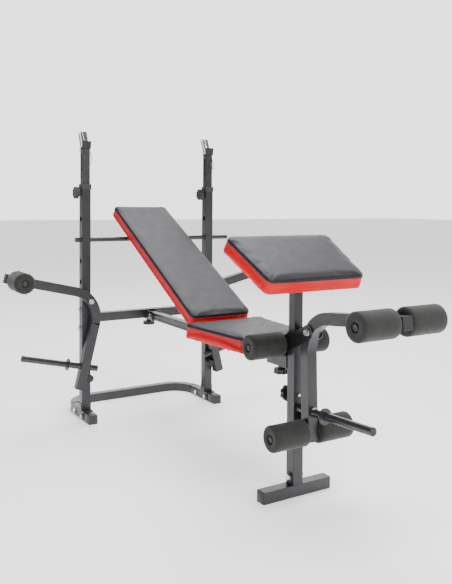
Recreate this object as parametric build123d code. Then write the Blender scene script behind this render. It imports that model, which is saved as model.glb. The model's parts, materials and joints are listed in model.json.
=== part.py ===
from build123d import *
import os
from math import atan2, cos, degrees, radians, sin

# Multi-function weight bench. Millimetres, +Z up.
# Origin: on the floor, under the middle of the front foot. +Y runs back to the uprights, +X to the right.

# Tube stock
TUBE = 38.0
WALL = 2.0
SLIDE_TUBE = 32.0
ARM_WIDTH = 36.0
ARM_DEPTH = 38.0
BEND_RADIUS = 115.0
ROLLER_BAR_RADIUS = 9.5
ROLLER_BAR_BORE = 7.5
FLANGE_RADIUS = 25.0
FLANGE_THICKNESS = 4.0
HEX_ACROSS = 17.0
PIVOT_WASHER_RADIUS = 10.5
POST_TUBE_RADIUS = 12.7
PLATE = 3.0
RUNNING = 0.1
GAP = 0.3

# Rear base and uprights
UPRIGHT_X = 301.5
UPRIGHT_Y = 1105.0
UPRIGHT_TOP = 1005.0
BASE_FRONT_Y = 998.6
BASE_CAP_LENGTH = 30.0
BASE_BACK_Y = 1334.0
BASE_BEND_RADIUS = 120.0
BASE_BOLT_YS = (1078.0, 1166.0)
BASE_BOLT_Z = 19.0
SADDLE_TOP = 68.0
SADDLE_SKIRT_Z = 5.0
SADDLE_FRONT_Y = 1062.0
SADDLE_REAR_Y = 1184.0
SADDLE_EAR_HALF = 17.0
COLLAR_HEIGHT = 23.0
CROSS_FRAME_Z = 435.0
CROSS_BOLT_ZS = (391.0, 469.0)
CROSS_BOLT_Y = 1113.0
CROSS_PLATE_LOW = 372.0
CROSS_PLATE_HIGH = 490.0
CROSS_PLATE_THICKNESS = 5.0
BEAM_BOLT_Y = 1041.0
BEAM_POCKET_Y = 1022.0
CROSSBAR_Z = 771.2
CROSSBAR_RADIUS = 10.0
CROSSBAR_LEFT = -341.0
CROSSBAR_RIGHT = 405.0
HOLE_PITCH = 90.0
UPRIGHT_KNOB_Z = 973.0

# Telescopic bar posts
BAR_POST_BOTTOM = 870.0
BAR_POST_TOP = 1161.0
CRADLE_HEIGHT = 78.0
CRADLE_LEAN = 24.0
LATCH_Z = 1148.0
LATCH_WIRE_RADIUS = 2.0
BAR_POST_HOLE_ZS = (1041.0, 1073.0)
BAR_POST_HOLE_RADIUS = 4.5

# Beam and seat
BEAM_HEIGHT = 32.0
BEAM_Z = 430.0
BEAM_FRONT_Y = 50.0
BEAM_WIDTH = 36.0
SEAT_REAR_Y = 447.0
SEAT_FRONT_Y = 95.0
SEAT_REAR_HALF = 166.0
SEAT_FRONT_HALF = 134.0
SEAT_TOP_Z = 494.0
BOARD = 12.0
SEAT_THICKNESS = 47.5

# Backrest
BACK_LOW_Y = 454.0
BACK_LOW_Z = 514.0
BACK_ANGLE = 27.9
BACK_LENGTH = 859.0
BACK_HALF_WIDTH = 129.0
BACK_THICKNESS = 42.0
RAIL = 25.0
RAIL_INNER_X = 22.5
RAIL_PIVOT_FROM_END = 30.0
RAIL_LENGTH = 780.0
HINGE_PIN_RADIUS = 6.0

# Front post, foot and preacher pad
POST_TOP = 519.0
FOOT_HALF = 129.0
FOOT_BOLT_Z = 62.0
EAR_RADIUS = 15.0
KNEE_Y = 47.0
KNEE_Z = 477.0
FOLD_Y = 128.0
FOLD_Z = 430.0
FRONT_KNOB_Y = 74.0
PREACHER_KNOB_Z = 317.0
PREACHER_POST_BOTTOM = 190.0
PREACHER_ANGLE = 29.0
PREACHER_FRONT_Y = -121.6
PREACHER_FRONT_Z = 701.5
PREACHER_LENGTH = 254.0
PREACHER_FRONT_HALF = 185.0
PREACHER_REAR_HALF = 206.0
PREACHER_THICKNESS = 47.0

# Leg lever, in the YZ plane
LEVER_PIVOT = (-88.0, 535.0)
LEVER_BOTTOM = (-76.5, 198.0)
LEVER_CORNER = (-63.5, 576.0)
LEVER_END = (-479.0, 619.5)
UPPER_ROLLER_Y = -445.0
LOWER_ROLLER_Z = 224.0
LEVER_POST_Z = 282.5
LEVER_POST_TILT = 3.3
LEVER_POST_LENGTH = 331.0
LEVER_FLANGE_AT = 122.0

# Butterfly arms: points in the arm's own plane, measured from its pivot
ARM_PIVOT_X = 294.5
ARM_PIVOT_Z = 511.0
ARM_Y = 1062.0
ARM_TILT = 13.5
ARM_INBOARD = -42.0
ARM_RISE = 29.0
ARM_BOTTOM = -368.0
ARM_END = 368.0
ARM_ROLLER_AT = 328.0
ARM_POST_AT = -275.5
ARM_POST_INNER = -97.0
ARM_POST_OUTER = 228.0
ARM_FLANGE_AT = 32.0
BUMPER_RADIUS = 14.5

# Foam rollers and knobs
FOAM_RADIUS = 40.5
FOAM_LENGTH = 129.0
FOAM_OUTER_END = 150.0
FOAM_ROUND = 7.0
KNOB_RADIUS = 26.0
KNOB_THICKNESS = 15.0
KNOB_HUB_RADIUS = 11.0
KNOB_HUB_LENGTH = 12.0
STUD_RADIUS = 5.0

BOLT_RADIUS = 5.0
PIVOT_RADIUS = 6.0
HEX_HEIGHT = 7.0

SIDES = (("left", -1), ("right", 1))


def write(name, *solids):
    """Write one node: a single solid, or separate solids side by side."""
    shape = solids[0] if len(solids) == 1 else Compound(children=list(solids))
    export_step(shape, f"parts/{name}.step")


def box(x0, x1, y0, y1, z0, z1):
    size = (x1 - x0, y1 - y0, z1 - z0)
    return Pos((x0 + x1) / 2, (y0 + y1) / 2, (z0 + z1) / 2) * Box(*size)


def rod(start, end, radius):
    """Solid round bar between two points."""
    start, end = Vector(*start), Vector(*end)
    plane = Plane(origin=start, z_dir=end - start)
    return extrude(plane * Circle(radius), amount=(end - start).length)


def pipe(start, end, outer, inner):
    return rod(start, end, outer) - rod(start, end, inner)


def square_tube_z(x, y, z0, z1, size, wall):
    outer = box(x - size / 2, x + size / 2, y - size / 2, y + size / 2, z0, z1)
    bore = size / 2 - wall
    return outer - box(x - bore, x + bore, y - bore, y + bore, z0 - 1, z1 + 1)


def bent_tube(plane, points, radius, depth, width, wall):
    """Rectangular tube bent in the given plane; depth lies in the plane, width across it."""
    path = FilletPolyline(*points, radius=radius)
    outer = extrude(plane * trace(path, line_width=depth), amount=width / 2, both=True)
    long_path = FilletPolyline(*stretched(points), radius=radius)
    bore = extrude(plane * trace(long_path, line_width=depth - 2 * wall), amount=width / 2 - wall, both=True)
    return outer - bore


def stretched(points):
    """The same path with its two ends run on by a millimetre, so that a bore breaks through."""
    first, second = Vector(*points[0]), Vector(*points[1])
    last, before = Vector(*points[-1]), Vector(*points[-2])
    start = first + (first - second).normalized()
    end = last + (last - before).normalized()
    return [(start.X, start.Y)] + list(points[1:-1]) + [(end.X, end.Y)]


def hexagon(centre, axis, across, height):
    plane = Plane(origin=centre, z_dir=axis)
    return extrude(plane * RegularPolygon(across / 2, 6, major_radius=False), amount=height)


def bolt(head, end, radius, across, nut_at=None, washer=None):
    """Hex bolt whose head stands behind 'head', with a nut and washers where they are given."""
    head, end = Vector(*head), Vector(*end)
    axis = (end - head).normalized()
    shank = rod(head, end, radius)
    cap = hexagon(head, -axis, across, HEX_HEIGHT)
    if washer:
        cap = hexagon(head - axis * 2, -axis, across, HEX_HEIGHT)
        shank += rod(head - axis * 2, head, washer)
    solid = shank + cap
    if nut_at is None:
        return [solid]
    nut_at = Vector(*nut_at)
    nut = hexagon(nut_at, axis, across, HEX_HEIGHT) - rod(nut_at - axis, nut_at + axis * 9, radius)
    return [solid, nut]


def knob(base, axis, tip):
    """Star knob with eight shallow lobes, its hub and its threaded stud."""
    base, axis, tip = Vector(*base), Vector(*axis), Vector(*tip)
    plane = Plane(origin=base, z_dir=axis)
    hub = extrude(plane * Circle(KNOB_HUB_RADIUS), amount=KNOB_HUB_LENGTH)
    head_plane = plane.offset(KNOB_HUB_LENGTH)
    outline = Circle(KNOB_RADIUS) - PolarLocations(KNOB_RADIUS + 5, 8) * Circle(8)
    head = extrude(head_plane * outline, amount=KNOB_THICKNESS)
    grip = head + hub
    stud = rod(tip, base + axis * 6, STUD_RADIUS)
    return grip - stud, stud


def foam(inner_end, outer_end):
    """Foam sleeve with rounded ends and a shallow recess for the bar plug at its outer end."""
    inner_end, outer_end = Vector(*inner_end), Vector(*outer_end)
    body = rod(inner_end, outer_end, FOAM_RADIUS)
    body = fillet(body.edges().filter_by(GeomType.CIRCLE), FOAM_ROUND)
    direction = (outer_end - inner_end).normalized()
    bore = rod(inner_end - direction, outer_end + direction, ROLLER_BAR_RADIUS + RUNNING)
    recess = rod(outer_end - direction * 6, outer_end + direction, 15)
    return body - bore - recess


def rounded_pad(face_plane, rear_half, front_half, length, thickness, corner):
    """Padded board outline in its own plane: front edge at y = 0, rear edge at y = length."""
    outline = Polygon(
        (-front_half, 0), (front_half, 0), (rear_half, length), (-rear_half, length), align=None
    )
    outline = fillet(outline.vertices(), corner)
    return extrude(face_plane * outline, amount=-thickness)


# Rear base -----------------------------------------------------------------

def rear_base():
    start_y = BASE_FRONT_Y + BASE_CAP_LENGTH
    points = [(-UPRIGHT_X, start_y), (-UPRIGHT_X, BASE_BACK_Y), (UPRIGHT_X, BASE_BACK_Y), (UPRIGHT_X, start_y)]
    tube = bent_tube(Plane.XY.offset(TUBE / 2), points, BASE_BEND_RADIUS, TUBE, TUBE, WALL)
    caps = []
    saddles = []
    for _, side in SIDES:
        x = side * UPRIGHT_X
        for hole_y in BASE_BOLT_YS:
            tube -= rod((x - TUBE, hole_y, BASE_BOLT_Z), (x + TUBE, hole_y, BASE_BOLT_Z), BOLT_RADIUS)
        cap = box(x - TUBE / 2, x + TUBE / 2, BASE_FRONT_Y, start_y, 0, TUBE)
        cap = fillet(cap.edges().filter_by(Axis.Y) + cap.faces().sort_by(Axis.Y)[0].edges(), 2.0)
        plug = TUBE / 2 - WALL
        cap += box(x - plug, x + plug, start_y, start_y + 14, WALL, TUBE - WALL)
        caps.append(cap)
        saddles.append(saddle(x))
    write("base_tube", tube)
    write("base_end_caps", *caps)
    write("base_saddles", *saddles)


def saddle(x):
    """Bent plate straddling the base tube, welded round the foot of the upright."""
    reach = TUBE / 2 + PLATE
    outer = box(x - reach, x + reach, SADDLE_FRONT_Y, SADDLE_REAR_Y, SADDLE_SKIRT_Z, TUBE + PLATE)
    slot = box(x - TUBE / 2, x + TUBE / 2, SADDLE_FRONT_Y - 1, SADDLE_REAR_Y + 1, -1, TUBE)
    plate = outer - slot
    foot = box(x - TUBE / 2, x + TUBE / 2, UPRIGHT_Y - TUBE / 2, UPRIGHT_Y + TUBE / 2, TUBE, TUBE + PLATE)
    ear_front, ear_back = UPRIGHT_Y - SADDLE_EAR_HALF, UPRIGHT_Y + SADDLE_EAR_HALF
    ears = box(x - reach, x + reach, ear_front, ear_back, TUBE + PLATE, SADDLE_TOP)
    ears -= box(x - TUBE / 2, x + TUBE / 2, ear_front - 1, ear_back + 1, TUBE, SADDLE_TOP + 1)
    plate = plate - foot + ears
    for hole_y in BASE_BOLT_YS:
        plate -= rod((x - TUBE, hole_y, BASE_BOLT_Z), (x + TUBE, hole_y, BASE_BOLT_Z), BOLT_RADIUS)
    return plate


# Uprights ------------------------------------------------------------------

def uprights():
    collars = []
    for name, side in SIDES:
        x = side * UPRIGHT_X
        tube = square_tube_z(x, UPRIGHT_Y, TUBE, UPRIGHT_TOP, TUBE, WALL)
        for step in (-2, -1, 0, 1):
            z = CROSSBAR_Z + step * HOLE_PITCH
            tube -= rod((x - TUBE, UPRIGHT_Y, z), (x + TUBE, UPRIGHT_Y, z), CROSSBAR_RADIUS + GAP)
        for z in CROSS_BOLT_ZS:
            tube -= rod((x - TUBE, CROSS_BOLT_Y, z), (x + TUBE, CROSS_BOLT_Y, z), BOLT_RADIUS)
        pivot_x = side * ARM_PIVOT_X
        tube -= rod((pivot_x, UPRIGHT_Y - TUBE, ARM_PIVOT_Z), (pivot_x, UPRIGHT_Y + TUBE, ARM_PIVOT_Z), PIVOT_RADIUS)
        tube -= rod((x - TUBE, UPRIGHT_Y, UPRIGHT_KNOB_Z), (x, UPRIGHT_Y, UPRIGHT_KNOB_Z), STUD_RADIUS + GAP)
        write(f"upright_{name}", tube)
        collars.append(collar(x))
    write("upright_collars", *collars)


def collar(x):
    """Plastic guide pushed over the top of the upright, with a close hole for the bar post."""
    half = TUBE / 2 + 2.5
    top = UPRIGHT_TOP + 5
    cap = box(x - half, x + half, UPRIGHT_Y - half, UPRIGHT_Y + half, top - COLLAR_HEIGHT, top)
    cap = fillet(cap.edges().filter_by(Axis.Z), 3.0)
    cap = fillet(cap.faces().sort_by(Axis.Z)[-1].edges(), 1.5)
    shell = TUBE / 2
    cap -= box(x - shell, x + shell, UPRIGHT_Y - shell, UPRIGHT_Y + shell, top - COLLAR_HEIGHT - 1, UPRIGHT_TOP)
    hole = SLIDE_TUBE / 2 + GAP
    return cap - box(x - hole, x + hole, UPRIGHT_Y - hole, UPRIGHT_Y + hole, UPRIGHT_TOP - 1, top + 1)


def cross_frame():
    """Tube between the uprights, its bolted end plates and the bracket that takes the beam."""
    inner = UPRIGHT_X - TUBE / 2
    plate_x = inner - CROSS_PLATE_THICKNESS
    half = TUBE / 2
    tube = box(-plate_x, plate_x, UPRIGHT_Y - half, UPRIGHT_Y + half, CROSS_FRAME_Z - half, CROSS_FRAME_Z + half)
    bore = half - WALL
    tube -= box(
        -plate_x - 1, plate_x + 1, UPRIGHT_Y - bore, UPRIGHT_Y + bore, CROSS_FRAME_Z - bore, CROSS_FRAME_Z + bore
    )
    frame = tube
    for _, side in SIDES:
        x0, x1 = sorted((side * plate_x, side * inner))
        plate = box(x0, x1, UPRIGHT_Y - half, UPRIGHT_Y + half, CROSS_PLATE_LOW, CROSS_PLATE_HIGH)
        plate = fillet(plate.edges().filter_by(Axis.X), 6)
        for z in CROSS_BOLT_ZS:
            plate -= rod((x0 - 1, CROSS_BOLT_Y, z), (x1 + 1, CROSS_BOLT_Y, z), BOLT_RADIUS)
        frame += plate
    front = UPRIGHT_Y - half
    bottom = BEAM_Z - BEAM_HEIGHT / 2
    for _, side in SIDES:
        x0, x1 = sorted((side * half, side * (half + PLATE)))
        frame += box(x0, x1, BEAM_POCKET_Y, front, bottom - PLATE, BEAM_Z + BEAM_HEIGHT / 2 + 4)
    frame += box(-half - PLATE, half + PLATE, BEAM_POCKET_Y, UPRIGHT_Y + 10, bottom - PLATE, bottom)
    frame += box(-half - PLATE, half + PLATE, front, UPRIGHT_Y + 10, bottom, CROSS_FRAME_Z - half)
    frame -= rod((-30, BEAM_BOLT_Y, BEAM_Z), (30, BEAM_BOLT_Y, BEAM_Z), BOLT_RADIUS)
    frame -= rod((0, UPRIGHT_Y, bottom - 10), (0, UPRIGHT_Y, bottom + 15), STUD_RADIUS + GAP)
    write("cross_frame", frame)


def main_beam():
    """Rectangular beam from the cross frame to the front bracket, with the backrest hinge lugs."""
    half = BEAM_WIDTH / 2
    z0, z1 = BEAM_Z - BEAM_HEIGHT / 2, BEAM_Z + BEAM_HEIGHT / 2
    back = UPRIGHT_Y - TUBE / 2
    beam = box(-half, half, BEAM_FRONT_Y, back, z0, z1)
    beam -= box(-half + WALL, half - WALL, BEAM_FRONT_Y - 1, back + 1, z0 + WALL, z1 - WALL)
    hinge_y, hinge_z = hinge_point()
    for _, side in SIDES:
        x0, x1 = sorted((side * (half - 4), side * half))
        lug = box(x0, x1, hinge_y - 12, hinge_y + 12, z1, hinge_z)
        lug += rod((x0, hinge_y, hinge_z), (x1, hinge_y, hinge_z), 12)
        beam += lug
    beam -= rod((-30, hinge_y, hinge_z), (30, hinge_y, hinge_z), HINGE_PIN_RADIUS)
    beam -= rod((-30, BEAM_BOLT_Y, BEAM_Z), (30, BEAM_BOLT_Y, BEAM_Z), BOLT_RADIUS)
    beam -= rod((-30, FOLD_Y, FOLD_Z), (30, FOLD_Y, FOLD_Z), BOLT_RADIUS)
    write("main_beam", beam)


def frame_fasteners():
    """Bolts and nuts of the rear frame and the butterfly arm pivots."""
    pieces = []
    reach = TUBE / 2 + PLATE
    for _, side in SIDES:
        x = side * UPRIGHT_X
        for y in BASE_BOLT_YS:
            nut = (x + reach, y, BASE_BOLT_Z)
            pieces += bolt((x - reach, y, BASE_BOLT_Z), (x + reach + 9, y, BASE_BOLT_Z), BOLT_RADIUS, HEX_ACROSS, nut)
        outer = x + side * TUBE / 2
        inner = x - side * (TUBE / 2 + CROSS_PLATE_THICKNESS)
        for z in CROSS_BOLT_ZS:
            end = inner - side * 9
            nut = (inner, CROSS_BOLT_Y, z)
            pieces += bolt((outer, CROSS_BOLT_Y, z), (end, CROSS_BOLT_Y, z), BOLT_RADIUS, HEX_ACROSS, nut)
        pivot_x = side * ARM_PIVOT_X
        front = ARM_Y - ARM_WIDTH / 2 - GAP
        back = UPRIGHT_Y + TUBE / 2
        pieces += bolt(
            (pivot_x, front, ARM_PIVOT_Z), (pivot_x, back + 11, ARM_PIVOT_Z), PIVOT_RADIUS, HEX_ACROSS,
            (pivot_x, back, ARM_PIVOT_Z), washer=PIVOT_WASHER_RADIUS,
        )
    nut = (reach, BEAM_BOLT_Y, BEAM_Z)
    pieces += bolt((-reach, BEAM_BOLT_Y, BEAM_Z), (reach + 9, BEAM_BOLT_Y, BEAM_Z), BOLT_RADIUS, HEX_ACROSS, nut)
    write("frame_fasteners", *pieces)


def arm_mountings():
    """Spacer bushes between arm and upright, and the rubber stops that the arms rest on."""
    spacers = []
    bumpers = []
    face = UPRIGHT_Y - TUBE / 2
    for _, side in SIDES:
        pivot_x = side * ARM_PIVOT_X
        back = ARM_Y + ARM_WIDTH / 2 + GAP
        spacers.append(pipe((pivot_x, back, ARM_PIVOT_Z), (pivot_x, face, ARM_PIVOT_Z), 12, PIVOT_RADIUS))
        x, z = arm_point(side, ARM_INBOARD - ARM_DEPTH / 2 - BUMPER_RADIUS - GAP, ARM_BOTTOM + 48)
        bumper = rod((x, face, z), (x, ARM_Y - ARM_WIDTH / 2 + 2, z), BUMPER_RADIUS)
        bumper = fillet(bumper.edges().sort_by(Axis.Y)[0], 4)
        bumpers.append(bumper)
    write("arm_spacers", *spacers)
    write("arm_bumpers", *bumpers)


def arm_point(side, out, up):
    """Global X and Z of a point given in the tilted frame of one butterfly arm."""
    tilt = radians(ARM_TILT)
    x = ARM_PIVOT_X + out * cos(tilt) - up * sin(tilt)
    return side * x, ARM_PIVOT_Z + out * sin(tilt) + up * cos(tilt)


# Crossbar and bar posts ------------------------------------------------------

def crossbar():
    bar = rod((CROSSBAR_LEFT, UPRIGHT_Y, CROSSBAR_Z), (CROSSBAR_RIGHT, UPRIGHT_Y, CROSSBAR_Z), CROSSBAR_RADIUS)
    write("crossbar", bar)


def bar_posts():
    for name, side in SIDES:
        x = side * UPRIGHT_X
        tube = square_tube_z(x, UPRIGHT_Y, BAR_POST_BOTTOM, BAR_POST_TOP, SLIDE_TUBE, WALL)
        for z in BAR_POST_HOLE_ZS:
            tube -= rod((x - TUBE, UPRIGHT_Y, z), (x + TUBE, UPRIGHT_Y, z), BAR_POST_HOLE_RADIUS)
        tube -= rod((x - TUBE, UPRIGHT_Y, LATCH_Z), (x + TUBE, UPRIGHT_Y, LATCH_Z), LATCH_WIRE_RADIUS + RUNNING)
        write(f"bar_post_{name}", tube)
        write(f"bar_cradle_{name}", front_lip(x), rear_hook(x))
        write(f"bar_latch_{name}", latch(x))


def front_lip(x):
    """Short black lip and floor of the cradle, closing the top of the post."""
    front = UPRIGHT_Y - SLIDE_TUBE / 2
    back = UPRIGHT_Y + SLIDE_TUBE / 2
    floor = box(x - 19, x + 19, front - 3, back - 4, BAR_POST_TOP, BAR_POST_TOP + 4)
    profile = Polygon((front - 3, BAR_POST_TOP), (front + 3, BAR_POST_TOP + 4), (front - 1, BAR_POST_TOP + 32),
                      (front - 7, BAR_POST_TOP + 32), align=None)
    lip = extrude(Plane.YZ.offset(x) * profile, amount=19, both=True)
    return floor + lip


def rear_hook(x):
    """Curved chrome gutter that leans back behind the bar."""
    lean = radians(CRADLE_LEAN)
    base_y = UPRIGHT_Y + SLIDE_TUBE / 2 - 4
    axis = Vector(0, sin(lean), cos(lean))
    plane = Plane(origin=(x, base_y, BAR_POST_TOP), x_dir=(1, 0, 0), z_dir=axis)
    ring = Pos(0, -21) * (Circle(24) - Circle(21.5))
    band = ring & Rectangle(38, 20)
    gutter = extrude(plane * band, amount=CRADLE_HEIGHT + 12)
    keep = box(x - 30, x + 30, base_y - 30, base_y + 90, BAR_POST_TOP, BAR_POST_TOP + CRADLE_HEIGHT)
    floor = box(x - 19, x + 19, UPRIGHT_Y + SLIDE_TUBE / 2 - 4, UPRIGHT_Y + SLIDE_TUBE / 2 + 3,
                BAR_POST_TOP, BAR_POST_TOP + 4)
    return (gutter & keep) + floor


def latch(x):
    """Wire latch that pivots in the post, with a curled end and a hanging bow."""
    left = x - SLIDE_TUBE / 2
    right = x + SLIDE_TUBE / 2
    y = UPRIGHT_Y
    points = [
        (left - 9, y + 9, LATCH_Z + 5), (left - 7, y, LATCH_Z), (right + 7, y, LATCH_Z),
        (right + 13, y - 2, LATCH_Z - 28), (right + 8, y - 4, LATCH_Z - 56),
    ]
    wire = rod(points[1], points[2], LATCH_WIRE_RADIUS)
    for start, end in zip(points[:-1], points[1:]):
        wire += rod(start, end, LATCH_WIRE_RADIUS)
    for point in points[1:-1]:
        wire += Pos(*point) * Sphere(LATCH_WIRE_RADIUS)
    return wire


# Seat and backrest -----------------------------------------------------------

def seat():
    top = SEAT_TOP_Z
    length = SEAT_REAR_Y - SEAT_FRONT_Y
    soft = SEAT_THICKNESS - BOARD
    plane = Plane(origin=(0, SEAT_FRONT_Y, top))
    write("seat_pad", rounded_pad(plane, SEAT_REAR_HALF, SEAT_FRONT_HALF, length, soft, 22))
    board_plane = Plane(origin=(0, SEAT_FRONT_Y + 4, top - soft))
    write("seat_board", rounded_pad(board_plane, SEAT_REAR_HALF - 4, SEAT_FRONT_HALF - 4, length - 8, BOARD, 20))


def back_point(along, below):
    """Y and Z of a point on the backrest: distance up the pad, depth under its top face."""
    angle = radians(BACK_ANGLE)
    y = BACK_LOW_Y + along * cos(angle) + below * sin(angle)
    return y, BACK_LOW_Z + along * sin(angle) - below * cos(angle)


def hinge_point():
    return back_point(RAIL_PIVOT_FROM_END, BACK_THICKNESS + RAIL / 2)


def back_plane(along, below):
    y, z = back_point(along, below)
    return Plane(origin=(0, y, z), x_dir=(1, 0, 0), z_dir=(0, -sin(radians(BACK_ANGLE)), cos(radians(BACK_ANGLE))))


def backrest():
    soft = BACK_THICKNESS - BOARD
    half = BACK_HALF_WIDTH
    write("backrest_pad", rounded_pad(back_plane(0, 0), half, half, BACK_LENGTH, soft, 22))
    board = rounded_pad(back_plane(4, soft), half - 4, half - 4, BACK_LENGTH - 8, BOARD, 20)
    write("backrest_board", board)
    hinge_y, hinge_z = hinge_point()
    frame = None
    plane = back_plane(RAIL_PIVOT_FROM_END - 16, BACK_THICKNESS)
    for _, side in SIDES:
        centre = side * (RAIL_INNER_X + RAIL / 2)
        rail = plane * Pos(centre, RAIL_LENGTH / 2, -RAIL / 2) * Box(RAIL, RAIL_LENGTH, RAIL)
        bore = plane * Pos(centre, RAIL_LENGTH / 2, -RAIL / 2) * Box(RAIL - 3, RAIL_LENGTH + 2, RAIL - 3)
        rail -= bore
        rail -= rod((centre - 20, hinge_y, hinge_z), (centre + 20, hinge_y, hinge_z), HINGE_PIN_RADIUS + RUNNING)
        frame = rail if frame is None else frame + rail
    for along in (RAIL_LENGTH * 0.38, RAIL_LENGTH - 40):
        strap = plane * Pos(0, along, -RAIL / 2) * Box(2 * RAIL_INNER_X, 30, PLATE)
        frame += strap
    write("backrest_rails", frame)
    ends = RAIL_INNER_X + RAIL + 4
    pin = rod((-ends, hinge_y, hinge_z), (ends, hinge_y, hinge_z), HINGE_PIN_RADIUS)
    for _, side in SIDES:
        pin += rod((side * ends, hinge_y, hinge_z), (side * (ends + 5), hinge_y, hinge_z), 10)
    write("backrest_pin", pin)


# Front post ------------------------------------------------------------------

def front_post():
    half = TUBE / 2
    post = square_tube_z(0, 0, TUBE, POST_TOP, TUBE, WALL)
    post -= rod((-30, 0, FOOT_BOLT_Z), (30, 0, FOOT_BOLT_Z), BOLT_RADIUS)
    post -= rod((0, 0, PREACHER_KNOB_Z), (0, 30, PREACHER_KNOB_Z), STUD_RADIUS + GAP)
    write("front_post", post)

    foot = box(-FOOT_HALF, FOOT_HALF, -half, half, 0, TUBE)
    foot -= box(-FOOT_HALF - 1, FOOT_HALF + 1, -half + WALL, half - WALL, WALL, TUBE - WALL)
    for _, side in SIDES:
        x0, x1 = sorted((side * half, side * (half + PLATE)))
        ear = box(x0, x1, -EAR_RADIUS, EAR_RADIUS, TUBE, FOOT_BOLT_Z)
        ear += rod((x0, 0, FOOT_BOLT_Z), (x1, 0, FOOT_BOLT_Z), EAR_RADIUS)
        foot += ear
    foot -= rod((-30, 0, FOOT_BOLT_Z), (30, 0, FOOT_BOLT_Z), BOLT_RADIUS)
    write("front_foot", foot)

    liner = square_tube_z(0, 0, POST_TOP, POST_TOP + 3, TUBE - 1, (TUBE - 1 - SLIDE_TUBE) / 2 - GAP)
    write("post_liner", liner)

    write("pivot_plates", *[pivot_plate(side) for _, side in SIDES])
    write("beam_bracket", beam_bracket())
    bar = pipe((-FOAM_OUTER_END + 4, KNEE_Y, KNEE_Z), (FOAM_OUTER_END - 4, KNEE_Y, KNEE_Z), ROLLER_BAR_RADIUS, ROLLER_BAR_BORE)
    write("knee_bar", bar)

    reach = half + PLATE
    nut = (reach, 0, FOOT_BOLT_Z)
    pieces = bolt((-reach, 0, FOOT_BOLT_Z), (reach + 9, 0, FOOT_BOLT_Z), BOLT_RADIUS, HEX_ACROSS, nut)
    pieces += bolt(
        (-reach - GAP, FOLD_Y, FOLD_Z), (reach + 10, FOLD_Y, FOLD_Z), BOLT_RADIUS - RUNNING, HEX_ACROSS,
        (reach + GAP, FOLD_Y, FOLD_Z),
    )
    pivot_y, pivot_z = LEVER_PIVOT
    pieces += bolt(
        (-reach, pivot_y, pivot_z), (reach + 11, pivot_y, pivot_z), PIVOT_RADIUS, HEX_ACROSS,
        (reach, pivot_y, pivot_z), washer=PIVOT_WASHER_RADIUS,
    )
    write("post_fasteners", *pieces)


def pivot_plate(side):
    """Black cheek plate welded to the post: knee bar behind, lever pivot in front."""
    half = TUBE / 2
    pivot_y, pivot_z = LEVER_PIVOT
    rear = hull_of((KNEE_Y, KNEE_Z, 17), (8, POST_TOP - 10, 10), (8, 458, 10))
    front = hull_of((pivot_y, pivot_z, 23), (-8, POST_TOP - 10, 10), (-8, 478, 10))
    face = rear + front
    x0 = side * half if side > 0 else side * (half + PLATE)
    plate = extrude(Plane.YZ.offset(x0) * face, amount=PLATE)
    plate -= rod((x0 - 1, pivot_y, pivot_z), (x0 + PLATE + 1, pivot_y, pivot_z), PIVOT_RADIUS)
    plate -= rod((x0 - 1, KNEE_Y, KNEE_Z), (x0 + PLATE + 1, KNEE_Y, KNEE_Z), ROLLER_BAR_RADIUS)
    return plate


def hull_of(*discs):
    """Face around a few discs, each given as centre y, centre z and radius."""
    edges = [(Pos(y, z) * Circle(radius)).edge() for y, z, radius in discs]
    return make_hull(edges)


def beam_bracket():
    """Channel on the back of the post that carries the front of the beam."""
    half = TUBE / 2
    inner = half + GAP
    outer = inner + PLATE
    low = BEAM_Z - BEAM_HEIGHT / 2 - 8
    high = FOLD_Z + BEAM_HEIGHT / 2 - 2
    bracket = box(-outer, outer, half, FOLD_Y - 24, low - PLATE, low)
    for _, side in SIDES:
        x0, x1 = sorted((side * inner, side * outer))
        cheek = box(x0, x1, half, FOLD_Y, low - PLATE, high)
        cheek += rod((x0, FOLD_Y, FOLD_Z), (x1, FOLD_Y, FOLD_Z), BEAM_HEIGHT / 2)
        cheek -= box(x0 - 1, x1 + 1, FOLD_Y, FOLD_Y + 40, low - PLATE - 1, FOLD_Z - BEAM_HEIGHT / 2)
        bracket += cheek
        bracket -= rod((x0 - 1, FOLD_Y, FOLD_Z), (x1 + 1, FOLD_Y, FOLD_Z), BOLT_RADIUS)
    bracket += box(-outer, outer, half, half + PLATE, low - PLATE, high)
    bracket -= rod((0, FRONT_KNOB_Y, low - 9), (0, FRONT_KNOB_Y, low + 9), STUD_RADIUS + GAP)
    return bracket


# Preacher pad ------------------------------------------------------------------

def preacher_point(along, below):
    angle = radians(PREACHER_ANGLE)
    y = PREACHER_FRONT_Y + along * cos(angle) + below * sin(angle)
    return y, PREACHER_FRONT_Z + along * sin(angle) - below * cos(angle)


def preacher_plane(along, below):
    angle = radians(PREACHER_ANGLE)
    y, z = preacher_point(along, below)
    return Plane(origin=(0, y, z), x_dir=(1, 0, 0), z_dir=(0, -sin(angle), cos(angle)))


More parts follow.
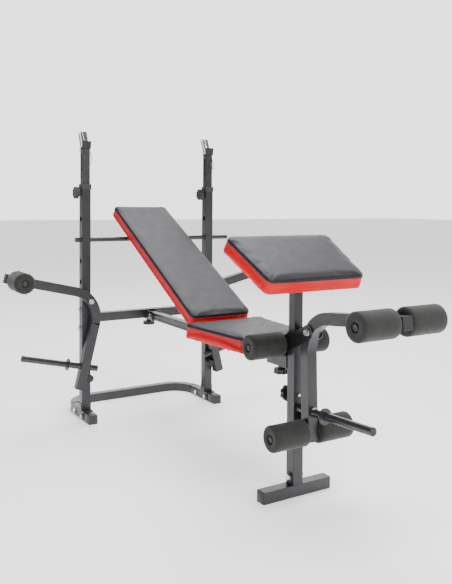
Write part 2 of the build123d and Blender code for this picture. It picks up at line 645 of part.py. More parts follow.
def preacher():
    soft = PREACHER_THICKNESS - BOARD
    pad = rounded_pad(preacher_plane(0, 0), PREACHER_REAR_HALF, PREACHER_FRONT_HALF, PREACHER_LENGTH, soft, 24)
    write("preacher_pad", pad)
    board = rounded_pad(
        preacher_plane(4, soft), PREACHER_REAR_HALF - 4, PREACHER_FRONT_HALF - 4, PREACHER_LENGTH - 8, BOARD, 22
    )
    write("preacher_board", board)

    plane = preacher_plane(0, PREACHER_THICKNESS)
    middle = (0 - plane.origin.Y) / cos(radians(PREACHER_ANGLE))
    plate = plane * Pos(0, middle, -PLATE / 2) * Box(90, 150, PLATE)
    tall = square_tube_z(0, 0, PREACHER_POST_BOTTOM, PREACHER_FRONT_Z + 60, SLIDE_TUBE, WALL)
    under = plane * Pos(0, middle, -PLATE - 100) * Box(300, 300, 200)
    below = box(-30, 30, -30, 30, PREACHER_POST_BOTTOM - 1, 660)
    post = tall & (under + below)
    write("preacher_post", post + plate)


# Leg lever -----------------------------------------------------------------------

def lever_line(y=None, z=None):
    """Y and Z on the centre line of the lever's upper arm (given y) or lower arm (given z)."""
    start, end = (LEVER_CORNER, LEVER_END) if z is None else (LEVER_CORNER, LEVER_BOTTOM)
    if z is None:
        share = (y - start[0]) / (end[0] - start[0])
    else:
        share = (z - start[1]) / (end[1] - start[1])
    return start[0] + share * (end[0] - start[0]), start[1] + share * (end[1] - start[1])


def leg_lever():
    tube = bent_tube(Plane.YZ, [LEVER_BOTTOM, LEVER_CORNER, LEVER_END], BEND_RADIUS, ARM_DEPTH, ARM_WIDTH, WALL)
    pivot_y, pivot_z = LEVER_PIVOT
    tube -= rod((-30, pivot_y, pivot_z), (30, pivot_y, pivot_z), PIVOT_RADIUS + RUNNING)
    bars = []
    for y, z in (lever_line(y=UPPER_ROLLER_Y), lever_line(z=LOWER_ROLLER_Z)):
        tube -= rod((-30, y, z), (30, y, z), ROLLER_BAR_RADIUS)
        bars.append(pipe((-FOAM_OUTER_END + 4, y, z), (FOAM_OUTER_END - 4, y, z), ROLLER_BAR_RADIUS, ROLLER_BAR_BORE))
    start, end, direction = lever_post_axis()
    tube -= rod(start, end, POST_TUBE_RADIUS)
    write("lever_tube", tube)
    write("lever_roller_bars", *bars)

    post = pipe(start, end, POST_TUBE_RADIUS, POST_TUBE_RADIUS - WALL)
    flange_at = start + direction * LEVER_FLANGE_AT
    post += pipe(flange_at, flange_at + direction * FLANGE_THICKNESS, FLANGE_RADIUS, POST_TUBE_RADIUS - 1)
    write("lever_weight_post", post)

    stop = rod(start - direction * 5.5, start, POST_TUBE_RADIUS + 1.3)
    stop += rod(start, start + direction * 12, POST_TUBE_RADIUS - WALL)
    write("lever_stop", stop)


def lever_post_axis():
    tilt = radians(LEVER_POST_TILT)
    direction = Vector(0, -cos(tilt), sin(tilt))
    start = Vector(0, -TUBE / 2 - GAP - 6.5, LEVER_POST_Z)
    return start, start + direction * LEVER_POST_LENGTH, direction


def lever_plugs():
    """Plastic plugs closing the two ends of the lever tube."""
    low = Vector(*LEVER_BOTTOM)
    up = (Vector(*LEVER_CORNER) - low).normalized()
    far = Vector(*LEVER_END)
    back = (Vector(*LEVER_CORNER) - far).normalized()
    write("lever_plugs", plug(low, up), plug(far, back))


def plug(point, inward):
    """Square plug on a tube end in the YZ plane: visible cap outside, body inside the bore."""
    angle = degrees(atan2(inward.Y, inward.X))
    local = Plane.YZ * Pos(point.X, point.Y) * Rot(0, 0, angle)
    cap = local * Pos(-1.5, 0, 0) * Box(3, ARM_DEPTH, ARM_WIDTH)
    cap = fillet(cap.edges(), 1.2)
    body = local * Pos(5, 0, 0) * Box(12, ARM_DEPTH - 2 * WALL, ARM_WIDTH - 2 * WALL)
    return cap + body


# Butterfly arms --------------------------------------------------------------------

def arm_plane(side):
    """Plane of one arm: x points outwards along the raised arm, y up along the lower arm."""
    tilt = radians(ARM_TILT)
    outwards = (side * cos(tilt), 0, sin(tilt))
    normal = (0, -side, 0)
    return Plane(origin=(side * ARM_PIVOT_X, ARM_Y, ARM_PIVOT_Z), x_dir=outwards, z_dir=normal)


def butterfly_arm(name, side):
    plane = arm_plane(side)
    points = [(ARM_INBOARD, ARM_BOTTOM), (ARM_INBOARD, ARM_RISE), (ARM_END, ARM_RISE)]
    tube = bent_tube(plane, points, BEND_RADIUS, ARM_DEPTH, ARM_WIDTH, WALL)
    pivot_x = side * ARM_PIVOT_X
    front, back = ARM_Y - ARM_WIDTH / 2, ARM_Y + ARM_WIDTH / 2
    tube -= rod((pivot_x, front - 1, ARM_PIVOT_Z), (pivot_x, back + 1, ARM_PIVOT_Z), PIVOT_RADIUS + RUNNING)

    roller_x, roller_z = arm_point(side, ARM_ROLLER_AT, ARM_RISE)
    tube -= rod((roller_x, front - 1, roller_z), (roller_x, back + 1, roller_z), ROLLER_BAR_RADIUS)
    bar_front = front - 1 - FOAM_LENGTH + 4
    bar = pipe((roller_x, bar_front, roller_z), (roller_x, back + 2, roller_z), ROLLER_BAR_RADIUS, ROLLER_BAR_BORE)
    write(f"arm_roller_bar_{name}", bar)

    x0, z0 = arm_point(side, ARM_POST_INNER, ARM_POST_AT)
    x1, z1 = arm_point(side, ARM_POST_OUTER, ARM_POST_AT)
    tube -= rod((x0, ARM_Y, z0), (x1, ARM_Y, z1), POST_TUBE_RADIUS)
    write(f"arm_tube_{name}", tube)

    post = pipe((x0, ARM_Y, z0), (x1, ARM_Y, z1), POST_TUBE_RADIUS, POST_TUBE_RADIUS - WALL)
    f0 = arm_point(side, ARM_FLANGE_AT, ARM_POST_AT)
    f1 = arm_point(side, ARM_FLANGE_AT + FLANGE_THICKNESS, ARM_POST_AT)
    post += pipe((f0[0], ARM_Y, f0[1]), (f1[0], ARM_Y, f1[1]), FLANGE_RADIUS, POST_TUBE_RADIUS - 1)
    write(f"arm_weight_post_{name}", post)

    plugs = []
    for out, up, turn in ((ARM_INBOARD, ARM_BOTTOM, 90), (ARM_END, ARM_RISE, 180)):
        local = plane * Pos(out, up) * Rot(0, 0, turn)
        cap = local * Pos(-1.5, 0, 0) * Box(3, ARM_DEPTH, ARM_WIDTH)
        cap = fillet(cap.edges(), 1.2)
        body = local * Pos(5, 0, 0) * Box(12, ARM_DEPTH - 2 * WALL, ARM_WIDTH - 2 * WALL)
        plugs.append(cap + body)
    write(f"arm_plugs_{name}", *plugs)

    foam_front = front - 1 - FOAM_LENGTH
    write(f"arm_foam_{name}", foam((roller_x, front - 1, roller_z), (roller_x, foam_front, roller_z)))


# Foam rollers and knobs ---------------------------------------------------------------

def foams():
    places = {
        "knee": (KNEE_Y, KNEE_Z, FOAM_OUTER_END - TUBE / 2 - PLATE - 1),
        "upper": (*lever_line(y=UPPER_ROLLER_Y), FOAM_LENGTH),
        "lower": (*lever_line(z=LOWER_ROLLER_Z), FOAM_LENGTH),
    }
    for place, (y, z, length) in places.items():
        for name, side in SIDES:
            outer = (side * FOAM_OUTER_END, y, z)
            inner = (side * (FOAM_OUTER_END - length), y, z)
            write(f"{place}_foam_{name}", foam(inner, outer))


def knobs():
    bottom = BEAM_Z - BEAM_HEIGHT / 2
    half = TUBE / 2
    places = {
        "beam_knob_rear": ((0, UPRIGHT_Y, bottom - PLATE - 1), (0, 0, -1), (0, UPRIGHT_Y, CROSS_FRAME_Z - half - GAP)),
        "beam_knob_front": ((0, FRONT_KNOB_Y, bottom - 8 - PLATE - 1), (0, 0, -1), (0, FRONT_KNOB_Y, bottom - GAP)),
        "preacher_knob": (
            (0, half + 1, PREACHER_KNOB_Z), (0, 1, 0), (0, SLIDE_TUBE / 2 + GAP, PREACHER_KNOB_Z)
        ),
    }
    for name, side in SIDES:
        x = side * UPRIGHT_X
        places[f"upright_knob_{name}"] = (
            (x - half - 1, UPRIGHT_Y, UPRIGHT_KNOB_Z), (-1, 0, 0), (x - SLIDE_TUBE / 2 - GAP, UPRIGHT_Y, UPRIGHT_KNOB_Z)
        )
    for name, (base, axis, tip) in places.items():
        write(name, *knob(base, axis, tip))


os.makedirs("parts", exist_ok=True)
rear_base()
uprights()
cross_frame()
main_beam()
frame_fasteners()
arm_mountings()
crossbar()
bar_posts()
seat()
backrest()
front_post()
preacher()
leg_lever()
lever_plugs()
for arm_name, arm_side in SIDES:
    butterfly_arm(arm_name, arm_side)
foams()
knobs()
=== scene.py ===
import json
from math import cos, pi, radians, sin

import bmesh
import bpy
from mathutils import Matrix, Vector


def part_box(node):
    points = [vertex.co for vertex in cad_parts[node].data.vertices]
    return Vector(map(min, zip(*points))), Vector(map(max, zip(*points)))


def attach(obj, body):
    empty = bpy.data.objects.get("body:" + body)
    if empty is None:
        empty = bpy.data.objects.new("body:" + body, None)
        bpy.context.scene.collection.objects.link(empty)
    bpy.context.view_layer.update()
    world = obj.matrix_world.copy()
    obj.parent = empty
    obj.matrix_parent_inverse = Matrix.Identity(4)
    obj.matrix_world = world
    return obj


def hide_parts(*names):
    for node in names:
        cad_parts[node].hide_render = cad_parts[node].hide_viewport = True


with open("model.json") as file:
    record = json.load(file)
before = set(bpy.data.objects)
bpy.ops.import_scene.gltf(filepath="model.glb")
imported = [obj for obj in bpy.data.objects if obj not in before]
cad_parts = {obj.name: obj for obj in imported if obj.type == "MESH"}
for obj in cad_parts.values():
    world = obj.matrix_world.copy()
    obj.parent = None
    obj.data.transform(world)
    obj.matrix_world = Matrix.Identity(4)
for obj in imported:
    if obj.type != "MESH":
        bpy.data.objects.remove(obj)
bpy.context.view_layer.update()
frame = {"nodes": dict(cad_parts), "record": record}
nodes = frame["nodes"]
slots = {part["node"]: part["material_slot"] for part in frame["record"]["subparts"]}
SIDES = (("left", -1), ("right", 1))
WELD_DISTANCE = 0.00002

# Pad slopes, the same as in the CAD model.
BACK_SLOPE = radians(27.9)
PREACHER_SLOPE = radians(29.0)


# Materials ---------------------------------------------------------------------

def shader(name):
    material = bpy.data.materials.new(name)
    material.use_nodes = True
    tree = material.node_tree
    return material, tree, tree.nodes["Principled BSDF"]


def noise(tree, scale, detail=3.0):
    """Object-space noise, so that it sits still on a piece of any shape."""
    place = tree.nodes.new("ShaderNodeTexCoord")
    node = tree.nodes.new("ShaderNodeTexNoise")
    node.inputs["Scale"].default_value = scale
    node.inputs["Detail"].default_value = detail
    tree.links.new(place.outputs["Object"], node.inputs["Vector"])
    return node.outputs["Fac"]


def tint(tree, bsdf, source, dark, light, low=0.35, high=0.65):
    ramp = tree.nodes.new("ShaderNodeValToRGB")
    ramp.color_ramp.elements[0].position = low
    ramp.color_ramp.elements[0].color = (*dark, 1)
    ramp.color_ramp.elements[1].position = high
    ramp.color_ramp.elements[1].color = (*light, 1)
    tree.links.new(source, ramp.inputs["Fac"])
    tree.links.new(ramp.outputs["Color"], bsdf.inputs["Base Color"])


def vary_roughness(tree, bsdf, source, low, high):
    spread = tree.nodes.new("ShaderNodeMapRange")
    spread.inputs["From Min"].default_value = 0.3
    spread.inputs["From Max"].default_value = 0.7
    spread.inputs["To Min"].default_value = low
    spread.inputs["To Max"].default_value = high
    tree.links.new(source, spread.inputs["Value"])
    tree.links.new(spread.outputs["Result"], bsdf.inputs["Roughness"])


def relief(tree, bsdf, source, strength, distance):
    bump = tree.nodes.new("ShaderNodeBump")
    bump.inputs["Strength"].default_value = strength
    bump.inputs["Distance"].default_value = distance
    tree.links.new(source, bump.inputs["Height"])
    tree.links.new(bump.outputs["Normal"], bsdf.inputs["Normal"])


def paint(name, dark, light, low, high, grain=900.0, strength=0.12, coat=0.0, metallic=0.0):
    """Powder coat, plastic or plated metal: broad tone changes, fine orange peel and uneven gloss."""
    material, tree, bsdf = shader(name)
    tint(tree, bsdf, noise(tree, 9.0), dark, light)
    vary_roughness(tree, bsdf, noise(tree, 38.0), low, high)
    relief(tree, bsdf, noise(tree, grain, 2.0), strength, 0.0004)
    bsdf.inputs["Metallic"].default_value = metallic
    bsdf.inputs["Coat Weight"].default_value = coat
    bsdf.inputs["Coat Roughness"].default_value = 0.12
    return material


def cells(tree, scale):
    place = tree.nodes.new("ShaderNodeTexCoord")
    node = tree.nodes.new("ShaderNodeTexVoronoi")
    node.inputs["Scale"].default_value = scale
    tree.links.new(place.outputs["Object"], node.inputs["Vector"])
    return node.outputs["Distance"]


def vinyl(name, dark, light, low, high, sheen, gloss=0.5):
    """Pebbled upholstery vinyl: cell grain, soft tone drift and a little sheen."""
    material, tree, bsdf = shader(name)
    tint(tree, bsdf, noise(tree, 6.0, 4.0), dark, light)
    vary_roughness(tree, bsdf, noise(tree, 30.0), low, high)
    mix = tree.nodes.new("ShaderNodeMath")
    mix.operation = "ADD"
    tree.links.new(cells(tree, 620.0), mix.inputs[0])
    tree.links.new(noise(tree, 240.0, 3.0), mix.inputs[1])
    relief(tree, bsdf, mix.outputs["Value"], 0.12, 0.0003)
    bsdf.inputs["Sheen Weight"].default_value = sheen
    bsdf.inputs["Sheen Roughness"].default_value = 0.45
    bsdf.inputs["Specular IOR Level"].default_value = gloss
    return material


def foam_skin(name):
    """Closed-cell foam: very matt, with fine open pores."""
    material, tree, bsdf = shader(name)
    tint(tree, bsdf, noise(tree, 60.0, 5.0), (0.012, 0.012, 0.010), (0.020, 0.020, 0.017), 0.3, 0.7)
    bsdf.inputs["Roughness"].default_value = 0.88
    mix = tree.nodes.new("ShaderNodeMath")
    mix.operation = "ADD"
    tree.links.new(cells(tree, 480.0), mix.inputs[0])
    tree.links.new(noise(tree, 900.0, 2.0), mix.inputs[1])
    relief(tree, bsdf, mix.outputs["Value"], 0.30, 0.0005)
    bsdf.inputs["Sheen Weight"].default_value = 0.15
    return material


finishes = {
    "frame_paint": paint(
        "frame_paint", (0.017, 0.017, 0.020), (0.024, 0.024, 0.028), 0.30, 0.42, coat=0.10),
    "black_paint": paint(
        "black_paint", (0.006, 0.006, 0.007), (0.010, 0.010, 0.012), 0.26, 0.38, coat=0.15),
    "grey_tube": paint(
        "grey_tube", (0.020, 0.020, 0.023), (0.030, 0.030, 0.034), 0.22, 0.32, coat=0.2),
    "bar_steel": paint(
        "bar_steel", (0.020, 0.020, 0.023), (0.034, 0.034, 0.038), 0.24, 0.34,
        grain=500.0, coat=0.2),
    "zinc": paint(
        "zinc", (0.58, 0.58, 0.56), (0.74, 0.73, 0.70), 0.22, 0.36, grain=420.0, metallic=1.0),
    "cradle_chrome": paint(
        "cradle_chrome", (0.86, 0.86, 0.87), (0.92, 0.92, 0.93), 0.10, 0.18,
        strength=0.0, metallic=1.0),
    "grey_plastic": paint(
        "grey_plastic", (0.020, 0.020, 0.023), (0.032, 0.032, 0.036), 0.45, 0.58, grain=700.0),
    "black_plastic": paint(
        "black_plastic", (0.010, 0.010, 0.011), (0.020, 0.020, 0.022), 0.34, 0.48, grain=700.0),
    "black_rubber": paint(
        "black_rubber", (0.012, 0.012, 0.012), (0.024, 0.024, 0.024), 0.62, 0.78,
        grain=500.0, strength=0.25),
    "roller_foam": foam_skin("roller_foam"),
    "upholstery": vinyl(
        "upholstery_grey", (0.012, 0.0115, 0.016), (0.018, 0.017, 0.023), 0.40, 0.48, 0.03, 0.26),
    "board": paint(
        "board", (0.020, 0.018, 0.017), (0.036, 0.032, 0.030), 0.6, 0.75,
        grain=260.0, strength=0.3),
}
red_vinyl = vinyl("upholstery_red", (0.58, 0.001, 0.005), (0.70, 0.002, 0.008), 0.40, 0.50, 0.0, 0.22)
# Painted shade: the dark colour of the seam cord stands for the shade in the groove between the grey top and
# the red band.
painted_seam_shade = vinyl("painted_seam_shade", (0.020, 0.016, 0.020), (0.045, 0.040, 0.046), 0.5, 0.65, 0.0)
backing_cloth = vinyl("backing_cloth", (0.012, 0.012, 0.013), (0.022, 0.022, 0.024), 0.7, 0.85, 0.1)


# CAD nodes: finishes, and eased edges so that they catch the light ---------------

def ease_edges(obj, width):
    weld = obj.modifiers.new("weld", "WELD")
    weld.merge_threshold = WELD_DISTANCE
    bevel = obj.modifiers.new("eased_edges", "BEVEL")
    bevel.width = width
    bevel.segments = 2
    bevel.limit_method = "ANGLE"
    bevel.angle_limit = radians(40)
    normals = obj.modifiers.new("normals", "WEIGHTED_NORMAL")
    normals.keep_sharp = False
    normals.weight = 60


ROUNDED = {"frame_paint": 0.0014, "black_paint": 0.0010, "black_plastic": 0.0010, "grey_plastic": 0.0010}
for node, obj in nodes.items():
    obj.data.materials.clear()
    obj.data.materials.append(finishes[slots[node]])
    ease_edges(obj, ROUNDED.get(slots[node], 0.0005))

for side, _ in SIDES:
    cradle = nodes[f"bar_cradle_{side}"]
    cradle.data.materials.append(finishes["black_paint"])
    low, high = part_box(f"bar_post_{side}")
    middle = (low.y + high.y) / 2
    for face in cradle.data.polygons:
        lip = face.center.y < middle - 0.004
        floor = face.center.z < high.z + 0.0045 and face.center.y < middle + 0.0121
        face.material_index = 1 if lip or floor else 0


# Mesh helpers ------------------------------------------------------------------

def link(name, mesh, material, body):
    obj = bpy.data.objects.new(name, mesh)
    bpy.context.scene.collection.objects.link(obj)
    for piece in material if isinstance(material, tuple) else (material,):
        mesh.materials.append(piece)
    mesh.shade_smooth()
    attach(obj, body)
    return obj


def ring(form, base, turn, radius, height, segments):
    """One ring of vertices round the direction that turn gives to Z."""
    made = []
    for step in range(segments):
        angle = 2 * pi * step / segments
        place = Vector((radius * cos(angle), radius * sin(angle), height))
        made.append(form.verts.new(base + turn @ place))
    return made


def bridge(form, lower, upper):
    """Quads between two rings of equal count."""
    for step in range(len(lower)):
        after = (step + 1) % len(lower)
        form.faces.new((lower[step], lower[after], upper[after], upper[step]))


def meshed(name, form):
    mesh = bpy.data.meshes.new(name)
    form.to_mesh(mesh)
    form.free()
    return mesh


def capped_stack(name, form, rings, material, body):
    """Closes a stack of rings at both ends and keeps its sharp edges crisp."""
    for lower, upper in zip(rings[:-1], rings[1:]):
        bridge(form, lower, upper)
    form.faces.new(tuple(reversed(rings[0])))
    form.faces.new(tuple(rings[-1]))
    bmesh.ops.recalc_face_normals(form, faces=form.faces[:])
    obj = link(name, meshed(name, form), material, body)
    ridges = obj.modifiers.new("edges", "EDGE_SPLIT")
    ridges.split_angle = radians(50)


def lathe(name, profile, base, axis, material, body, segments=48):
    """Closed turned piece: (radius, height) pairs along the axis."""
    base, axis = Vector(base), Vector(axis).normalized()
    turn = axis.to_track_quat("Z", "Y").to_matrix()
    form = bmesh.new()
    rings = [ring(form, base, turn, radius, height, segments) for radius, height in profile]
    capped_stack(name, form, rings, material, body)


def hexagon_head(name, base, axis, across, height, body, material):
    """Hex head with a chamfered crown and a washer face."""
    corner = across / 2 / cos(pi / 6)
    profile = [
        (corner * 0.86, 0.0), (corner * 0.86, 0.0006), (corner, 0.0008),
        (corner, height - 0.0012), (corner * 0.84, height), (corner * 0.3, height),
    ]
    lathe(name, profile, base, axis, material, body, segments=6)


# Soft pads -----------------------------------------------------------------------

PAD_OVERHANG = 0.0025
SWELL_LIMIT = 0.004
SIDE_DROP = 0.0140
UNDERSIDE = 0.004
VOXEL_SIZE = 0.005
CLOTH_FRAMES = 20
SEAM_SHADE_CORD_RADIUS = 0.0014


class PadFrame:
    """Local directions of one sloping pad: across is X, along runs up the pad, up is its normal."""

    def __init__(self, slope, node):
        self.along = Vector((0, cos(slope), sin(slope)))
        self.up = Vector((0, -sin(slope), cos(slope)))
        points = [v.co for v in nodes[node].data.vertices]
        self.bottom = min(p.dot(self.up) for p in points)
        self.top = max(p.dot(self.up) for p in points)
        self.start = min(p.dot(self.along) for p in points)
        self.end = max(p.dot(self.along) for p in points)
        self.half = max(abs(p.x) for p in points)

    def point(self, across, along, up):
        return Vector((across, 0, 0)) + self.along * along + self.up * up


def flat_start(local, node):
    """The pad laid flat: X across, Y along, Z up. It overhangs the CAD pad a little, and its
    sides are carried down round the board."""
    form = bmesh.new()
    form.from_mesh(nodes[node].data)
    bmesh.ops.remove_doubles(form, verts=form.verts[:], dist=WELD_DISTANCE)
    middle = (local.start + local.end) / 2
    length = local.end - local.start
    for vert in form.verts:
        across, along, up = vert.co.x, vert.co.dot(local.along), vert.co.dot(local.up)
        across *= (local.half + PAD_OVERHANG) / local.half
        along = middle + (along - middle) * (length + 2 * PAD_OVERHANG) / length
        lower_half = up < (local.bottom + local.top) / 2
        up = up - SIDE_DROP if lower_half else up + PAD_OVERHANG * 1.3
        vert.co = (across, along, up)
    return meshed(node + "_flat", form)


def swollen(rest, limit):
    """Cloth pressure on a copy of the mesh, with its underside held, and each point's travel capped."""
    obj = bpy.data.objects.new("swelling", rest)
    bpy.context.scene.collection.objects.link(obj)
    held = obj.vertex_groups.new(name="held")
    lowest = min(v.co.z for v in rest.vertices)
    held.add([v.index for v in rest.vertices if v.co.z < lowest + UNDERSIDE], 1.0, "REPLACE")
    cloth = obj.modifiers.new("cloth", "CLOTH")
    cloth.settings.use_pressure = True
    cloth.settings.uniform_pressure_force = 4.0
    cloth.settings.effector_weights.gravity = 0
    cloth.settings.vertex_group_mass = "held"
    cloth.settings.quality = 5
    cloth.point_cache.frame_start = 1
    cloth.point_cache.frame_end = CLOTH_FRAMES
    for step in range(1, CLOTH_FRAMES + 1):
        bpy.context.scene.frame_set(step)
    grown = obj.evaluated_get(bpy.context.evaluated_depsgraph_get())
    for vert, moved in zip(rest.vertices, [v.co.copy() for v in grown.data.vertices]):
        shift = moved - vert.co
        if shift.length > limit:
            shift *= limit / shift.length
        vert.co = vert.co + shift
    obj.modifiers.clear()
    bpy.context.scene.frame_set(1)
    bpy.data.objects.remove(obj)


def evaluated(obj):
    return bpy.data.meshes.new_from_object(obj.evaluated_get(bpy.context.evaluated_depsgraph_get()))


def with_modifier(mesh, kind, **settings):
    obj = bpy.data.objects.new("working", mesh)
    bpy.context.scene.collection.objects.link(obj)
    modifier = obj.modifiers.new("step", kind)
    for key, value in settings.items():
        setattr(modifier, key, value)
    bpy.context.view_layer.update()
    made = evaluated(obj)
    bpy.data.objects.remove(obj)
    return made


def cut_loop(form, level):
    """Cuts the mesh at one height and returns the points of the longest loop of that cut, in order."""
    cut = bmesh.ops.bisect_plane(
        form, geom=form.verts[:] + form.edges[:] + form.faces[:],
        plane_co=(0, 0, level), plane_no=(0, 0, 1), dist=0.00001,
    )
    # A dict keeps the edges in a fixed order, so the loop starts at the same place every run.
    edges = dict.fromkeys(e for e in cut["geom_cut"] if isinstance(e, bmesh.types.BMEdge))
    best = []
    while edges:
        edge, _ = edges.popitem()
        first, current = edge.verts
        chain = [first.co.copy(), current.co.copy()]
        while current is not first:
            following = next((e for e in current.link_edges if e in edges), None)
            if following is None:
                break
            del edges[following]
            current = following.other_vert(current)
            chain.append(current.co.copy())
        if len(chain) > len(best):
            best = chain
    return best


def smoothed(points, rounds):
    for _ in range(rounds):
        count = len(points)
        points = [(points[i - 1] + points[i] * 2 + points[(i + 1) % count]) / 4 for i in range(count)]
    return points


def seam_shade_cord(name, points, radius, material, body):
    """Thin cord of vinyl that follows the seam; its dark colour is painted shade of the seam groove."""
    curve = bpy.data.curves.new(name, "CURVE")
    curve.dimensions = "3D"
    curve.bevel_depth = radius
    curve.bevel_resolution = 3
    spline = curve.splines.new("POLY")
    spline.points.add(len(points) - 1)
    for place, point in zip(spline.points, points):
        place.co = (*point, 1)
    spline.use_cyclic_u = True
    obj = bpy.data.objects.new(name, curve)
    bpy.context.scene.collection.objects.link(obj)
    mesh = evaluated(obj)
    bpy.data.objects.remove(obj)
    return link(name, mesh, material, body)


def pad(name, node, body, slope, band_top):
    """Upholstered pad: grey top panel, red side band, a thin raised cord between them whose dark colour is
    painted shade of the seam groove, cloth underneath.
    """
    local = PadFrame(slope, node)
    rest = with_modifier(flat_start(local, node), "REMESH", mode="VOXEL", voxel_size=VOXEL_SIZE)
    rest = with_modifier(rest, "SMOOTH", factor=0.5, iterations=4)
    swollen(rest, SWELL_LIMIT)
    rest = with_modifier(rest, "SMOOTH", factor=0.5, iterations=3)
    rest = with_modifier(rest, "SUBSURF", levels=1, render_levels=1)
    form = bmesh.new()
    form.from_mesh(rest)
    seam = local.top - band_top
    loop = [local.point(*point) for point in smoothed(cut_loop(form, seam), 6)]
    form.normal_update()
    for face in form.faces:
        height = face.calc_center_median().z
        if height > seam:
            face.material_index = 0
        elif face.normal.z < -0.95 and height < local.bottom - SIDE_DROP + UNDERSIDE:
            face.material_index = 2
        else:
            face.material_index = 1
    for vert in form.verts:
        vert.co = local.point(*vert.co)
    obj = link(name, meshed(name, form), (finishes["upholstery"], red_vinyl, backing_cloth), body)
    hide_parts(node)
    # The thin cord along the seam is real; its dark colour is painted shade of the seam groove.
    seam_shade_cord(name + "_welt", loop, SEAM_SHADE_CORD_RADIUS, painted_seam_shade, body)


pad("seat_cushion", "seat_pad", "frame", 0.0, 0.0075)
pad("backrest_cushion", "backrest_pad", "backrest", BACK_SLOPE, 0.0070)
pad("preacher_cushion", "preacher_pad", "preacher", PREACHER_SLOPE, 0.0075)


# Foam rollers --------------------------------------------------------------------

def foam_roller(node, body, axis, bar_body):
    """Foam sleeve with soft shoulders and a sunk plug in its outer end."""
    low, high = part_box(node)
    centre = (low + high) / 2
    axis = Vector(axis)
    length = abs((high - low).dot(axis))
    radius = (high.z - low.z) / 2
    base = centre - axis * length / 2
    bore, sunk = 0.0097, 0.0150
    shoulder = [(0.0, 0.0085), (0.0012, 0.0040), (0.0034, 0.0013), (0.0072, 0.0)]
    profile = [(bore, 0.0)]
    profile += [(radius - inset, rise) for rise, inset in shoulder]
    profile += [
        (radius - 0.0004, length * 0.25), (radius - 0.0002, length * 0.5),
        (radius - 0.0004, length * 0.75),
    ]
    profile += [(radius - inset, length - rise) for rise, inset in reversed(shoulder)]
    profile += [
        (sunk + 0.0015, length), (sunk, length - 0.0012),
        (sunk, length - 0.0058), (bore, length - 0.006),
    ]
    form = bmesh.new()
    turn = axis.to_track_quat("Z", "Y").to_matrix()
    rings = [ring(form, base, turn, reach, height, 72) for reach, height in profile]
    for index, lower in enumerate(rings):
        bridge(form, lower, rings[(index + 1) % len(rings)])
    bmesh.ops.recalc_face_normals(form, faces=form.faces[:])
    mesh = meshed(node + "_sleeve", form)
    obj = link(node + "_sleeve", mesh, finishes["roller_foam"], body)
    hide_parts(node)
    cap = [
        (0.0002, 0.0), (0.0085, 0.0), (0.0098, 0.0006), (0.0098, 0.0020),
        (0.0082, 0.0032), (0.0060, 0.0036), (0.0052, 0.0030), (0.0002, 0.0028),
    ]
    lathe(node + "_bar_plug", cap, base + axis * (length - 0.0042), axis, finishes["grey_plastic"], bar_body)


for side, sign in SIDES:
    foam_roller(f"knee_foam_{side}", f"knee_foam_{side}", (sign, 0, 0), "front_post")
    foam_roller(f"upper_foam_{side}", f"upper_foam_{side}", (sign, 0, 0), "leg_lever")
    foam_roller(f"lower_foam_{side}", f"lower_foam_{side}", (sign, 0, 0), "leg_lever")
    foam_roller(f"arm_foam_{side}", f"arm_foam_{side}", (0, -1, 0), f"arm_{side}")


# Small hardware ------------------------------------------------------------------

def tube_end(node, direction):
    """Middle of the end face of a straight round post, found from its mesh."""
    direction = Vector(direction).normalized()
    points = [v.co for v in nodes[node].data.vertices]
    reach = max(p.dot(direction) for p in points)
    rim = [p for p in points if p.dot(direction) > reach - 0.0006]
    return sum(rim, Vector()) / len(rim)


def end_cap(name, place, direction, radius, material, body, depth=0.004):
    """Pushed-in cap with a rolled rim and a slight dish."""
    profile = [
        (radius - 0.0012, -0.010), (radius - 0.0012, -0.0001), (radius, 0.0), (radius, depth * 0.6),
        (radius - 0.0012, depth), (radius * 0.7, depth + 0.0004),
        (radius * 0.35, depth - 0.0004), (0.0003, depth - 0.0004),
    ]
    lathe(name, profile, place, direction, material, body)


POST_RADIUS = 0.0127
post_tilt = radians(13.5)
for side, sign in SIDES:
    outward = (sign * cos(post_tilt), 0, sin(post_tilt))
    end_cap(f"arm_weight_post_cap_{side}", tube_end(f"arm_weight_post_{side}", outward), outward,
            POST_RADIUS, finishes["black_plastic"], f"arm_{side}", 0.002)
    inward = tuple(-c for c in outward)
    end_cap(f"arm_weight_post_inner_cap_{side}", tube_end(f"arm_weight_post_{side}", inward),
            inward, POST_RADIUS, finishes["black_plastic"], f"arm_{side}", 0.002)

lever_tilt = radians(3.3)
forward = (0, -cos(lever_tilt), sin(lever_tilt))
lever_end = tube_end("lever_weight_post", forward)
end_cap("lever_weight_post_cap", lever_end, forward, POST_RADIUS, finishes["grey_plastic"],
        "leg_lever", 0.002)

low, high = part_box("crossbar")
middle = (low + high) / 2
for side, sign in SIDES:
    place = (low.x if sign < 0 else high.x, middle.y, middle.z)
    end_cap(f"crossbar_cap_{side}", place, (sign, 0, 0), 0.0104,
            finishes["black_plastic"], "crossbar", 0.003)


def square_plug(name, place, direction, half, material, body):
    """Square tube plug with a domed outer face and rounded corners."""
    turn = Vector(direction).to_track_quat("Z", "Y").to_matrix()
    form = bmesh.new()
    rings = []
    corner = 0.003
    profile = ((half - 0.002, -0.012), (half - 0.002, 0.0), (half, 0.0002),
               (half, 0.0020), (half - 0.0015, 0.0032))
    for reach, height in profile:
        outline = []
        for quarter in range(4):
            right = 1 if quarter in (0, 3) else -1
            above = 1 if quarter in (0, 1) else -1
            centre = Vector((right, above, 0)) * (reach - corner)
            for step in range(5):
                angle = pi / 2 * quarter + pi / 8 * step
                point = centre + Vector((cos(angle), sin(angle), 0)) * corner
                point = turn @ (point + Vector((0, 0, height)))
                outline.append(form.verts.new(Vector(place) + point))
        rings.append(outline)
    capped_stack(name, form, rings, material, body)


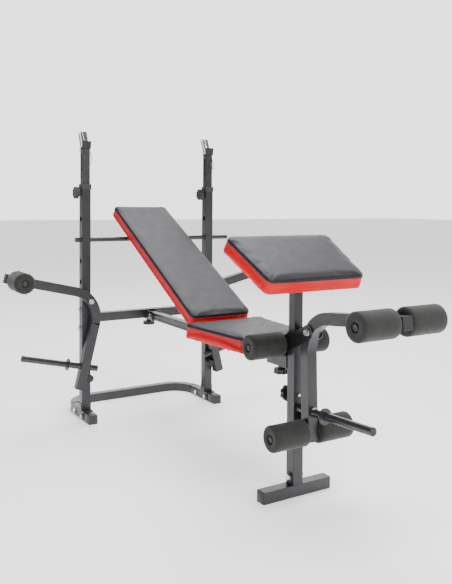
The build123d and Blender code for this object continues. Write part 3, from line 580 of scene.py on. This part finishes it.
low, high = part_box("front_foot")
tube_half = (high.y - low.y) / 2
for side, sign in SIDES:
    place = (low.x if sign < 0 else high.x, (low.y + high.y) / 2, low.z + tube_half)
    square_plug(f"foot_plug_{side}", place, (sign, 0, 0), tube_half,
                finishes["grey_plastic"], "front_post")

post_low, post_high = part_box("front_post")
FRONT_BOLT_Z = 0.324
hexagon_head("post_front_bolt", ((post_low.x + post_high.x) / 2, post_low.y, FRONT_BOLT_Z),
             (0, -1, 0), 0.010, 0.005, "front_post", finishes["zinc"])
stub = Vector((0, -0.097, 0.286 + 0.0127))
hexagon_head("lever_clamp_bolt", stub - Vector((0, 0, 0.0008)), (0, 0, 1), 0.012, 0.006,
             "leg_lever", finishes["zinc"])


def board_screws(prefix, node, body, slope, columns, rows):
    """Countersunk washers and pan heads on the underside of a board."""
    local = PadFrame(slope, node)
    length = local.end - local.start
    for row, share in enumerate(rows):
        for column, across in enumerate(columns):
            place = local.point(across * local.half, local.start + share * length, local.bottom)
            profile = [
                (0.0085, 0.0), (0.0085, 0.0010), (0.0052, 0.0014),
                (0.0050, 0.0026), (0.0030, 0.0042), (0.0004, 0.0046),
            ]
            lathe(f"{prefix}_screw_{row}_{column}", profile, place, -local.up,
                  finishes["zinc"], body, segments=24)


board_screws("seat", "seat_board", "frame", 0.0, (-0.62, 0.62), (0.15, 0.85))
board_screws("backrest", "backrest_board", "backrest", BACK_SLOPE, (-0.62, 0.62),
             (0.08, 0.36, 0.64, 0.92))
board_screws("preacher", "preacher_board", "preacher", PREACHER_SLOPE, (-0.62, 0.62), (0.2, 0.8))


# Camera --------------------------------------------------------------------------

def make_camera():
    data = bpy.data.cameras.new("camera")
    camera = bpy.data.objects.new("camera", data)
    bpy.context.scene.collection.objects.link(camera)
    data.sensor_width = 36.0
    data.lens = 42.61
    data.shift_x = -0.0154
    data.shift_y = -0.121
    yaw, pitch, roll = radians(31.85), radians(1.25), radians(0.36)
    look = Vector((sin(yaw) * cos(pitch), cos(yaw) * cos(pitch), -sin(pitch)))
    turn = look.to_track_quat("-Z", "Y").to_matrix() @ Matrix.Rotation(roll, 3, "Z")
    camera.matrix_world = Matrix.Translation((-1.3209, -1.7567, 0.9192)) @ turn.to_4x4()
    bpy.context.scene.camera = camera


# Light and floor -----------------------------------------------------------------

def area_light(name, place, target, size, power):
    data = bpy.data.lights.new(name, "AREA")
    data.shape = "RECTANGLE"
    data.size, data.size_y = size
    data.energy = power
    light = bpy.data.objects.new(name, data)
    bpy.context.scene.collection.objects.link(light)
    light.location = place
    light.rotation_euler = (Vector(target) - Vector(place)).to_track_quat("-Z", "Y").to_euler()


FLOOR_SIZE = 40.0


def make_floor():
    form = bmesh.new()
    bmesh.ops.create_grid(form, x_segments=12, y_segments=12, size=FLOOR_SIZE)
    mesh = bpy.data.meshes.new("floor")
    form.to_mesh(mesh)
    form.free()
    floor = bpy.data.objects.new("floor", mesh)
    bpy.context.scene.collection.objects.link(floor)
    material, tree, bsdf = shader("pale_floor")
    tint(tree, bsdf, noise(tree, 0.8), (0.93, 0.93, 0.95), (0.95, 0.95, 0.965))
    bsdf.inputs["Roughness"].default_value = 0.9
    bsdf.inputs["Emission Color"].default_value = (1, 1, 1, 1)
    bsdf.inputs["Emission Strength"].default_value = 0.75
    mesh.materials.append(material)


def make_world():
    """Studio surround: a white backdrop behind the bench, and a dimmer room on the camera's side."""
    world = bpy.data.worlds.new("studio")
    bpy.context.scene.world = world
    world.use_nodes = True
    tree = world.node_tree
    background = tree.nodes["Background"]
    place = tree.nodes.new("ShaderNodeTexCoord")
    facing = tree.nodes.new("ShaderNodeVectorMath")
    facing.operation = "DOT_PRODUCT"
    facing.inputs[1].default_value = (0.84, 0.50, -0.20)
    spread = tree.nodes.new("ShaderNodeMapRange")
    spread.interpolation_type = "SMOOTHSTEP"
    spread.inputs["From Min"].default_value = 0.15
    spread.inputs["From Max"].default_value = 0.60
    spread.inputs["To Min"].default_value = 0.20
    spread.inputs["To Max"].default_value = 2.5
    tree.links.new(place.outputs["Generated"], facing.inputs[0])
    tree.links.new(facing.outputs["Value"], spread.inputs["Value"])
    tree.links.new(spread.outputs["Result"], background.inputs["Strength"])
    background.inputs["Color"].default_value = (1.0, 1.0, 1.0, 1)


make_camera()
make_floor()
make_world()
area_light("key", (-0.5, -4.0, 2.3), (0, 0.4, 0.5), (1.5, 1.5), 90)
area_light("upright_fill", (-0.2, -0.9, 2.7), (0, 1.1, 0.8), (1.0, 1.0), 45)
area_light("top", (0.9, 1.8, 4.6), (0.2, 1.0, 0.0), (3.0, 3.0), 230)
